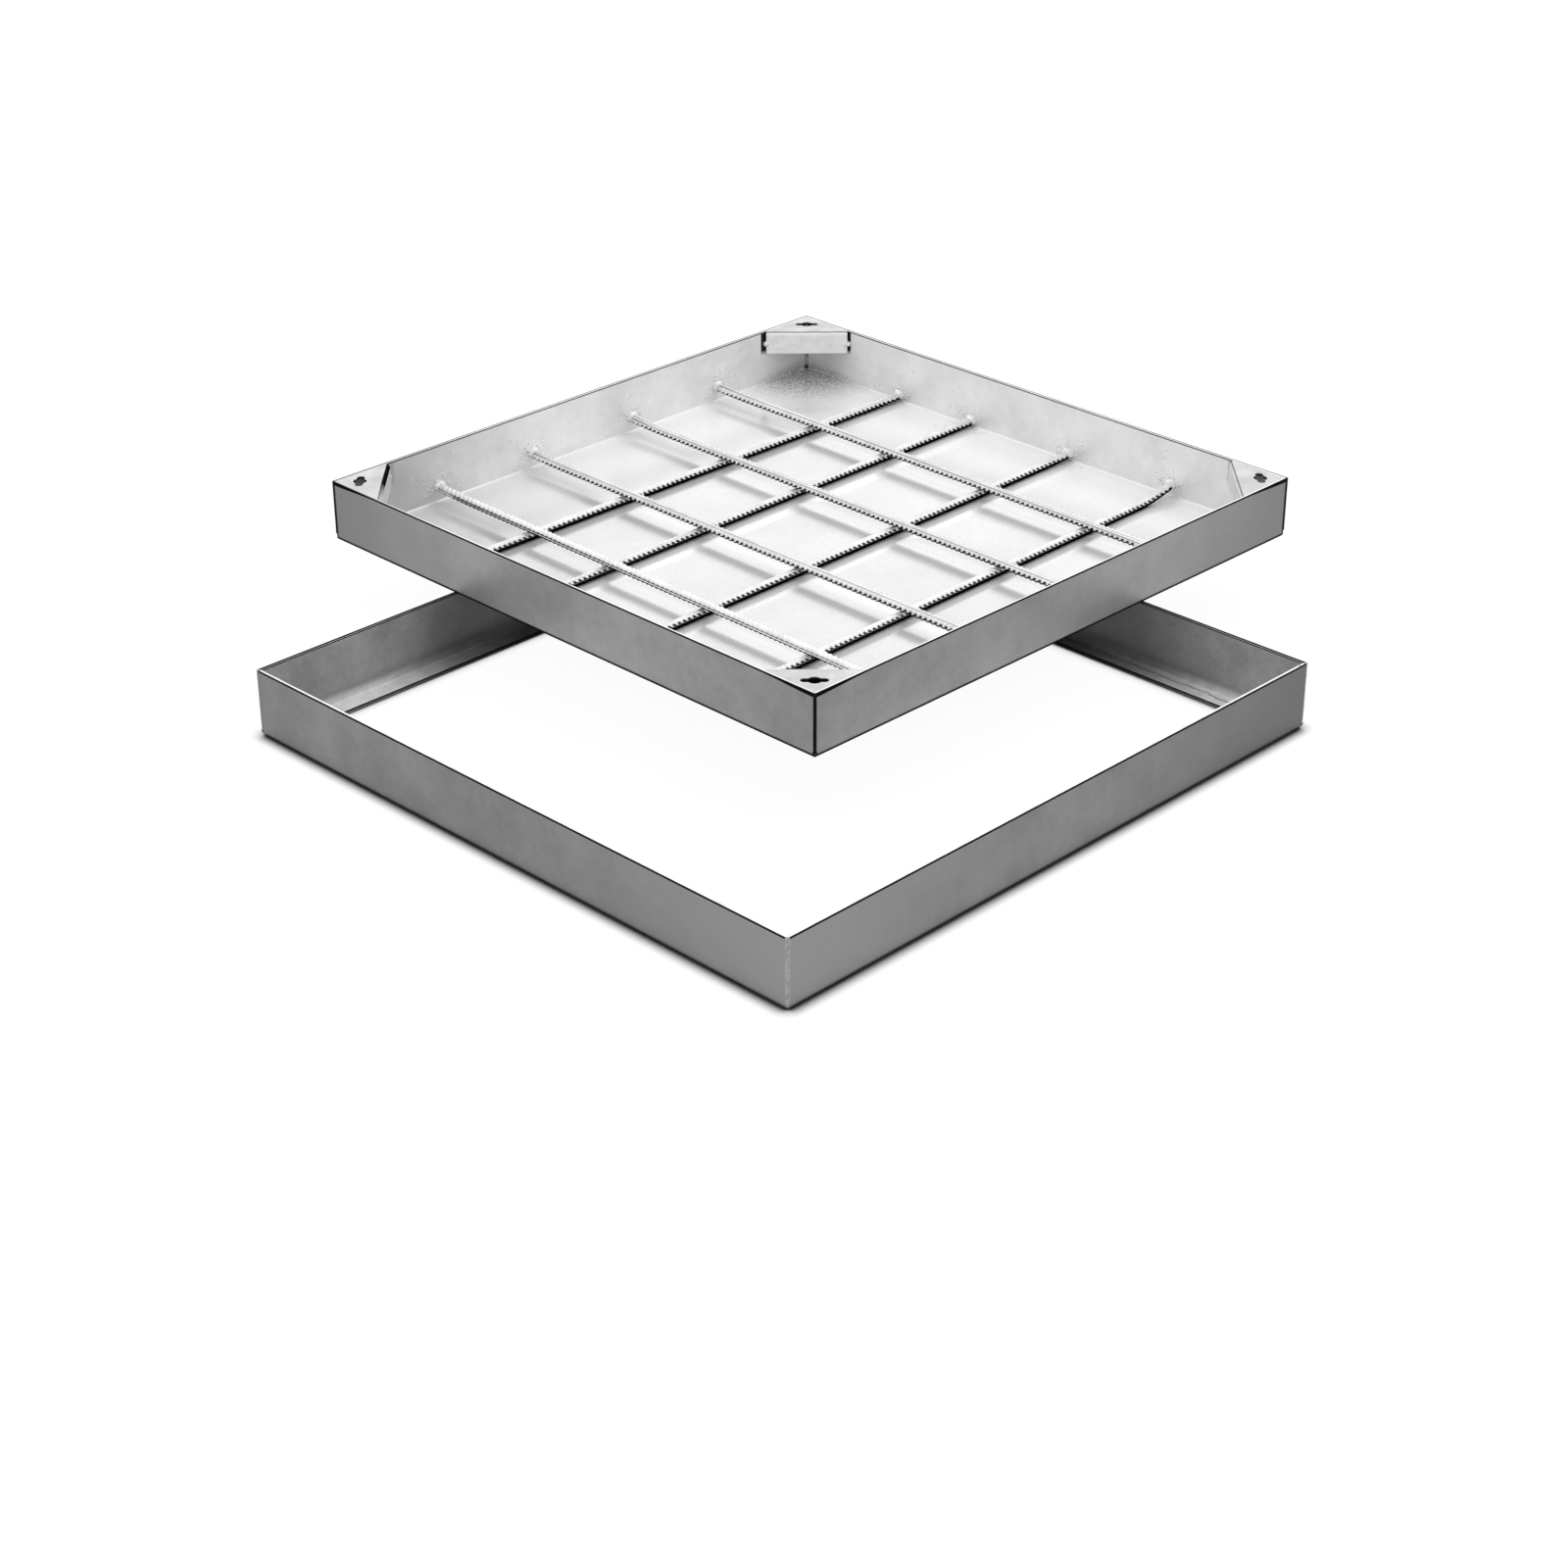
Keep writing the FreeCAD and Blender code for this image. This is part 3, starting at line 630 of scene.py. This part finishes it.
# painted shade: the left plate's fold is black
crease = add(tree, "MapRange", {"Value": upwards, "From Min": 0.1, "From Max": 0.97})
crease = add(tree, "Math", {0: crease, 1: 0.5, 2: 0.47}, operation="COMPARE")
to_back = add(tree, "MapRange", {"Value": diagonal.outputs["Value"], "From Min": -55.0,
                                 "From Max": -5.0})
leftmost = add(tree, "VectorMath", {0: place, 1: (-1, 1, 0)}, operation="DOT_PRODUCT")
leftmost = add(tree, "Math", {0: leftmost.outputs["Value"], 1: 300.0}, operation="GREATER_THAN")
crease = add(tree, "Math", {0: crease, 1: to_back}, operation="MULTIPLY")
crease = add(tree, "Math", {0: crease, 1: leftmost}, operation="MULTIPLY")
plate_coat = add(tree, "MixRGB", {"Fac": crease, "Color1": plate_coat, "Color2": linear("#0A0A0A")})

# painted shade covers each plate beneath, behind its lip, and the wall of its keyhole
spot = add(tree, "VectorMath", {0: place}, operation="ABSOLUTE")
spot = add(tree, "VectorMath", {0: spot, 1: (1, 1, 0)}, operation="DOT_PRODUCT")
height = add(tree, "SeparateXYZ", {0: place}).outputs["Z"]
behind = add(tree, "MapRange", {"Value": spot.outputs["Value"], "From Min": lip_sum + 1.6,
                                "From Max": lip_sum + 2.4})
beneath = add(tree, "MapRange", {"Value": height, "From Min": tray_height - 0.9,
                                 "From Max": tray_height - 0.4, "To Min": 1.0, "To Max": 0.0})
under_plate_shade = add(tree, "Math", {0: behind, 1: beneath}, operation="MULTIPLY")
plate_coat = add(tree, "MixRGB", {"Fac": under_plate_shade, "Color1": plate_coat, "Color2": linear("#1C1C1C")})
clean = add(tree, "Math", {0: crease, 1: under_plate_shade}, operation="MAXIMUM")
clean = add(tree, "Math", {0: 1.0, 1: clean}, operation="SUBTRACT")
body = add(tree, "Math", {0: clean, 1: 0.35}, operation="MULTIPLY")
shine = add(tree, "Math", {0: clean, 1: 0.5}, operation="MULTIPLY")
relief = rough_skin(tree, place, 0.35, 3.0, 0.12, 0.0002)
metal = add(tree, "BsdfPrincipled", {"Base Color": plate_coat, "Metallic": body, "Roughness": 0.34,
                                     "Specular IOR Level": shine, "Normal": relief})
add(tree, "OutputMaterial", {"Surface": metal})
for corner in ("front_left", "front_right", "back_right", "back_left"):
    dress("corner_plate_" + corner, plate_zinc)


# Lip welds
# A short bead at each end of every lip holds it to the tray's side. It stands clear of the plate
# above it, so that a dark gap shows over and under it.

lip_gap = 0.8
plate_depth = plate_leg / math.sqrt(2)
lip_half = plate_depth - tray_sheet - lip_gap
bead_middle = 12.8          # below the plate's top
bead_half = 3.2
bead_radius = 4.2           # at the near and far plates
side_bead_radius = 3.0      # at the left and right plates
bead_rows = 8
bead_spokes = 14

corners, faces = [], []
for quarter in range(4):
    turned = (tray_mm @ Matrix.Rotation(math.radians(90 * quarter), 4, "Z")
              @ Matrix.Translation((-inner_half, -inner_half, tray_height))
              @ Matrix.Rotation(math.radians(45), 4, "Z"))
    for side in (-1, 1):
        rings = []
        for row in range(bead_rows + 1):
            share = -0.97 + 1.94 * row / bead_rows
            ring = []
            for spoke in range(bead_spokes):
                angle = 2 * math.pi * spoke / bead_spokes
                radius = side_bead_radius if quarter % 2 else bead_radius
                radius *= math.sqrt(1 - share * share)
                lump = (math.cos(angle) * 2, math.sin(angle) * 2, share * 3)
                radius *= 1 + 0.22 * uneven(lump, 1.6, quarter * 2 + side)
                x = lip_half + lip_gap + radius * math.cos(angle)
                y = lip_half + radius * math.sin(angle)
                # what would pass through the tray's side is pressed back to it
                past = (y - x) / math.sqrt(2) - 0.25
                if past > 0:
                    x += past / math.sqrt(2)
                    y -= past / math.sqrt(2)
                ring.append(turned @ Vector((x, side * y, -bead_middle + bead_half * share)))
            rings.append(ring)
        skin_rings(rings, corners, faces)
make_piece("lip_weld_beads", corners, faces, weld_zinc, "weld_metal", "corner_plate_welds")


# Reinforcing bars
# Hot-rolled ribbed bar, 8 mm nominal: two long ribs, and short slanting ribs every 5.7 mm that fade
# into them. Four lie on the floor, and four lie across them, all set by hand, no two quite alike.

bar_core = 3.6              # radius between the ribs
rib_height = 0.65
long_rib_height = 0.5
rib_pitch = 5.7
rib_slant = 0.62            # how far a rib runs along the bar, to how far round it
rib_rows = ((-1.9, 0.0), (-0.7, 1.0), (0.7, 1.0), (1.9, 0.0))   # along a rib, and how high there
rib_slant_fade = 9.0        # over how much of each end the ribs come upright
plain_ends = 3.0            # the length without ribs, both ends together, at least
long_rib_side = 0.13        # how far round the bar a long rib reaches to each side, in radians
groove_side = 0.28          # and the groove beside it
crest_lift = 0.52           # how much more of the light a rib's crest catches
black_below = -0.6          # from here down, of -1 beneath to 1 on top, a bar is always painted black, as shade
bar_end_gap = 2.5
turn_up_run = 32.0
turn_up_ease = 12.0         # on each side of the bend, how far the bar bends
end_lift_run = 22.0            # over how far from the last end the painted shade of the sides is lifted
end_lift_most = 0.5           # how much it is lifted at the very end
bar_bite = 0.15             # how far the ribs of the two layers press into each other
bar_reach = bar_core + rib_height
lower_axis = tray_sheet + bar_reach
upper_axis = lower_axis + 2 * bar_reach - bar_bite

# A bar's drift from the even grid at its first and last end, the rise of its last end, its twist at
# both ends in radians, how far its sides are lifted out of the painted shade at both, and how far its
# underside is lifted out of the painted black
Lay = namedtuple("Lay", "drift last_drift rise twist last_twist clean last_clean bare")
lower_lay = (Lay(-4.0, 6.0, 6.0, 0.3, 1.1, -0.14, -0.06, 0.0),
             Lay(3.5, 10.5, 0.8, 1.3, 1.3, -0.16, -0.04, 0.0),
             Lay(8.5, 14.0, 0.5, 2.0, 0.9, -0.14, 0.1, 0.04),
             Lay(-6.0, -9.0, 0.8, 0.5, 1.9, -0.02, 0.1, 0.04))
upper_lay = (Lay(-8.5, -3.5, 1.3, 3.25, 3.3, 0.36, 0.2, 0.1),
             Lay(-12.5, -9.0, 0.8, 1.6, 2.0, 0.3, 0.54, 0.34),
             Lay(-7.0, -2.5, 1.3, 1.9, 2.3, 0.32, 0.54, 0.34),
             Lay(-8.0, -6.0, 1.0, 2.4, 1.7, 0.46, 0.52, 0.44))
layers = (("lower", lower_lay, lower_axis), ("upper", upper_lay, upper_axis))


def bar_line(index, lay, axis_height):
    """First end of a bar, its way in plan, its length, and how high its line is at a distance."""
    even = (index - 1.5) * bar_spacing
    end = inner_half - bar_end_gap
    first = Vector((-end, even + lay.drift, axis_height))
    last = Vector((end, even + lay.last_drift, axis_height))
    length = (last - first).length
    slope = lay.rise / turn_up_run
    ease_start = length - turn_up_run - turn_up_ease

    def lift(run):
        past = run - ease_start
        if past <= 0:
            return 0.0, 0.0
        if past <= 2 * turn_up_ease:
            return slope * past * past / (4 * turn_up_ease), slope * past / (2 * turn_up_ease)
        return slope * (past - turn_up_ease), slope

    return first, (last - first).normalized(), length, lift


def half_round():
    """Angles round half a bar, each with its share of cross rib, of long rib and of groove."""
    shares = [(0.0, 0.0, 1.0, 0.0), (long_rib_side, 0.0, 1.0, 0.0), (groove_side, 0.12, 0.0, 1.0)]
    for step in range(1, 8):
        angle = groove_side + (math.pi - 2 * groove_side) * step / 8
        shares.append((angle, math.sin(angle) ** 0.6, 0.0, 0.0))
    shares += [(math.pi - groove_side, 0.12, 0.0, 1.0), (math.pi - long_rib_side, 0.0, 1.0, 0.0)]
    return shares


def ribbed_bar(index, lay, axis_height, swap):
    """Corners and faces of one ribbed bar, in metres, with how far each corner is up a rib, in a
    groove, on the side painted as lit, and clear of the painted black underside."""
    first, way, length, lift = bar_line(index, lay, axis_height)
    across = Vector((-way.y, way.x, 0))
    upper_half = half_round()
    rounds = upper_half + [(angle + math.pi, *shares) for angle, *shares in upper_half]
    runs = [(0.0, 0.0)]
    count = int((length - plain_ends) / rib_pitch)
    margin = (length - (count - 1) * rib_pitch) / 2
    for rib in range(count):
        middle = margin + rib * rib_pitch
        runs += [(middle + offset, share) for offset, share in rib_rows]
    runs.append((length, 0.0))
    rings, crests, grooves, lits, clears = [], [], [], [], []
    for run, share in runs:
        fade = min(1.0, min(run, length - run) / rib_slant_fade)
        twist = lay.twist + (lay.last_twist - lay.twist) * run / length
        end_lift = end_lift_most * max(0.0, 1 - (length - run) / end_lift_run)
        clean = lay.clean + (lay.last_clean - lay.clean) * run / length
        bare = lay.bare + (end_lift if swap else 0.0)
        ring = []
        for angle, rib, long, groove in rounds:
            half_angle = angle if angle <= math.pi else 2 * math.pi - angle
            spot = run + rib_slant * bar_core * (half_angle - math.pi / 2) * fade
            rise, slope = lift(spot)
            upwards = Vector((-way.x * slope, -way.y * slope, 1.0)).normalized()
            radius = bar_core + rib_height * rib * share + long_rib_height * long
            turn = angle + twist
            point = (first + way * spot + Vector((0, 0, rise))
                     + (across * math.cos(turn) + upwards * math.sin(turn)) * radius)
            if swap:
                point = Vector((point.y, point.x, point.z))
            ring.append(tray_mm @ point)
            crest = max(rib * share, long)
            height = math.sin(turn)
            crests.append(crest)
            grooves.append(groove * (0.2 + 1.2 * bare))
            lits.append(height + clean + end_lift + crest * crest_lift)
            clears.append(height + bare * (1 + 2 * crest) if height > black_below else -1.0)
        rings.append(ring)
    corners, faces = [], []
    skin_rings(rings, corners, faces)
    return corners, faces, {"crest": crests, "groove": grooves, "lit": lits, "clear": clears}


# Hot-rolled ribbed bar, galvanised, with its light and shade painted by how far each face turns up:
# bright tops and crests as painted light, and as painted shade dark teeth between the ribs where the
# side turns away, grey below them, black beneath, and grey in the grooves and between the ribs
bar_zinc, tree = new_material("ribbed_bar_galvanised")
place = place_in_mm(tree)
bar_coat = zinc_coat(tree, place, "#E8E8E8", "#FFFFFF", 12.0, 1.5)
lit = add(tree, "Attribute", attribute_name="lit")
clear = add(tree, "Attribute", attribute_name="clear")
crest = add(tree, "Attribute", attribute_name="crest")
groove = add(tree, "Attribute", attribute_name="groove")
bar_coat = add(tree, "MixRGB", {"Fac": groove.outputs["Fac"], "Color1": bar_coat,
                                "Color2": linear("#5A5A5A")})
valley = add(tree, "MapRange", {"Value": crest.outputs["Fac"], "From Min": 0.1, "From Max": 0.5,
                                "To Min": 0.08, "To Max": 0.0})
bar_coat = add(tree, "MixRGB", {"Fac": valley, "Color1": bar_coat, "Color2": linear("#9C9C9C")})
lit_side = add(tree, "MapRange", {"Value": lit.outputs["Fac"], "From Min": 0.6, "From Max": 0.66})
tooth = add(tree, "MapRange", {"Value": lit.outputs["Fac"], "From Min": 0.06, "From Max": 0.16})
low_side = add(tree, "MapRange", {"Value": clear.outputs["Fac"], "From Min": 0.03, "From Max": 0.09})
shade = add(tree, "MixRGB", {"Fac": tooth, "Color1": linear("#7C7C7C"), "Color2": linear("#141414")})
flank_coat = add(tree, "MixRGB", {"Fac": lit_side, "Color1": shade, "Color2": bar_coat})
bar_coat = add(tree, "MixRGB", {"Fac": low_side, "Color1": linear("#060606"), "Color2": flank_coat})
relief = rough_skin(tree, place, 1.4, 3.0, 0.3, 0.0002)
gloss = add(tree, "MapRange", {"Value": low_side, "To Min": 0.9, "To Max": 0.35})
body = add(tree, "Math", {0: low_side, 1: 0.3}, operation="MULTIPLY")
shine = add(tree, "Math", {0: low_side, 1: 0.5}, operation="MULTIPLY")
metal = add(tree, "BsdfPrincipled", {"Base Color": bar_coat, "Metallic": body, "Roughness": gloss,
                                     "Specular IOR Level": shine, "Normal": relief})
add(tree, "OutputMaterial", {"Surface": metal})

for layer, lays, axis_height in layers:
    for index, lay in enumerate(lays):
        corners, faces, marks = ribbed_bar(index, lay, axis_height, layer == "upper")
        bar = make_piece("ribbed_bar_%s_%d" % (layer, index + 1), corners, faces, bar_zinc,
                         "ribbed_bar", "%s_bar_%d" % (layer, index + 1))
        for mark, shares in marks.items():
            bar.data.attributes.new(mark, "FLOAT", "POINT").data.foreach_set("value", shares)


# Bar end welds
# Each bar's end is tacked to the tray's side with a thick lumpy weld over its top half. The arc has
# thrown spatter, small round drops stuck to the side and floor around it.

collar_reach = 7.0          # on the tray's side, from the bar's middle
collar_length = 4.8         # along the bar
collar_spokes = 24
collar_start = -18          # in degrees, from the height of the bar's middle
collar_round = 216


def weld_collar(seat, inwards, seed):
    """Rings of a lumpy weld over a bar's end, from one side of the bar to the other."""
    sideways = Vector((-inwards.y, inwards.x, 0))
    rings = []
    for spoke in range(collar_spokes + 1):
        share = spoke / collar_spokes
        angle = math.radians(collar_start + collar_round * share)
        full = math.sin(math.pi * min(max(share, 0.04), 0.96)) ** 0.45
        lump = 1 + 0.2 * uneven((math.cos(angle) * 6, math.sin(angle) * 6, 0), 3.5, seed)
        wide = bar_reach + 0.3 + (collar_reach - bar_reach) * full * lump
        long = 1.6 + (collar_length - 1.6) * full * lump
        ring = []
        for radius, depth in ((0.4, -0.3), (wide, -0.3), (wide * 0.985, long * 0.22),
                              (bar_reach + (wide - bar_reach) * 0.78, long * 0.55),
                              (bar_reach + (wide - bar_reach) * 0.45, long * 0.84),
                              (bar_reach + 0.3, long), (bar_core - 0.6, long * 1.02),
                              (0.4, long * 0.9)):
            bumpy = 1 + 0.05 * uneven((angle * 9, depth * 2, radius), 2.0, seed + 50)
            point = seat + inwards * depth + (sideways * math.cos(angle)
                                              + Vector((0, 0, math.sin(angle)))) * radius * bumpy
            ring.append(point)
        rings.append(ring)
    return rings


def spatter_drop(seat, out, radius, corners, faces):
    """One drop of spatter: a low dome, six-sided, sunk a little into what it sticks to."""
    side = Vector((0, 0, 1)) if abs(out.z) < 0.5 else Vector((1, 0, 0))
    other = out.cross(side)
    rings = []
    for size, height in ((1.0, -0.15), (0.9, 0.35), (0.5, 0.75)):
        rings.append([tray_mm @ (seat + out * height * radius
                                 + (side * math.cos(step) + other * math.sin(step)) * size * radius)
                      for step in [math.pi * k / 3 for k in range(6)]])
    skin_rings(rings, corners, faces)


drops_per_end = 44
nearest_drop = 7.5          # from the bar's middle
mean_throw = 8.0            # and how much farther the drops fly, in the mean
farthest_drop = 34
lowest_drop = 6.5           # above the tray's foot; the drops below it lie on the floor

for layer, lays, axis_height in layers:
    corners, faces = [], []
    throw = random.Random(7 if layer == "lower" else 8)
    for index, lay in enumerate(lays):
        first, way, length, lift = bar_line(index, lay, axis_height)
        for end in (0, 1):
            inwards = Vector((1, 0, 0)) * (1 - 2 * end)
            rise = lift(length)[0] if end else 0.0
            seat = first + way * length * end + Vector((0, 0, rise))
            seat.x = -inner_half * (1 - 2 * end)
            rings = weld_collar(seat, inwards, index * 2 + end + (10 if layer == "upper" else 0))
            if layer == "upper":
                rings = [[Vector((p.y, p.x, p.z)) for p in ring] for ring in rings]
            skin_rings([[tray_mm @ p for p in ring] for ring in rings], corners, faces)
            for drop in range(drops_per_end):
                reach = nearest_drop + throw.expovariate(1 / mean_throw)
                angle = throw.uniform(-0.5, math.pi + 0.5)
                radius = throw.uniform(0.5, 1.2) if drop else 1.5
                way_out = Vector((0, math.cos(angle), math.sin(angle)))
                spot = seat + way_out * min(reach, farthest_drop)
                out = inwards
                if spot.z < lowest_drop:
                    floor_x = seat.x + inwards.x * (6 + (lowest_drop - spot.z) * 2)
                    spot = Vector((floor_x, spot.y, tray_sheet))
                    out = Vector((0, 0, 1))
                if spot.z > tray_height - 3:
                    continue
                if layer == "upper":
                    spot, out = Vector((spot.y, spot.x, spot.z)), Vector((out.y, out.x, out.z))
                spatter_drop(spot, out, radius, corners, faces)
    make_piece(layer + "_bar_weld_beads", corners, faces, weld_zinc, "weld_metal",
               layer + "_bar_end_welds")
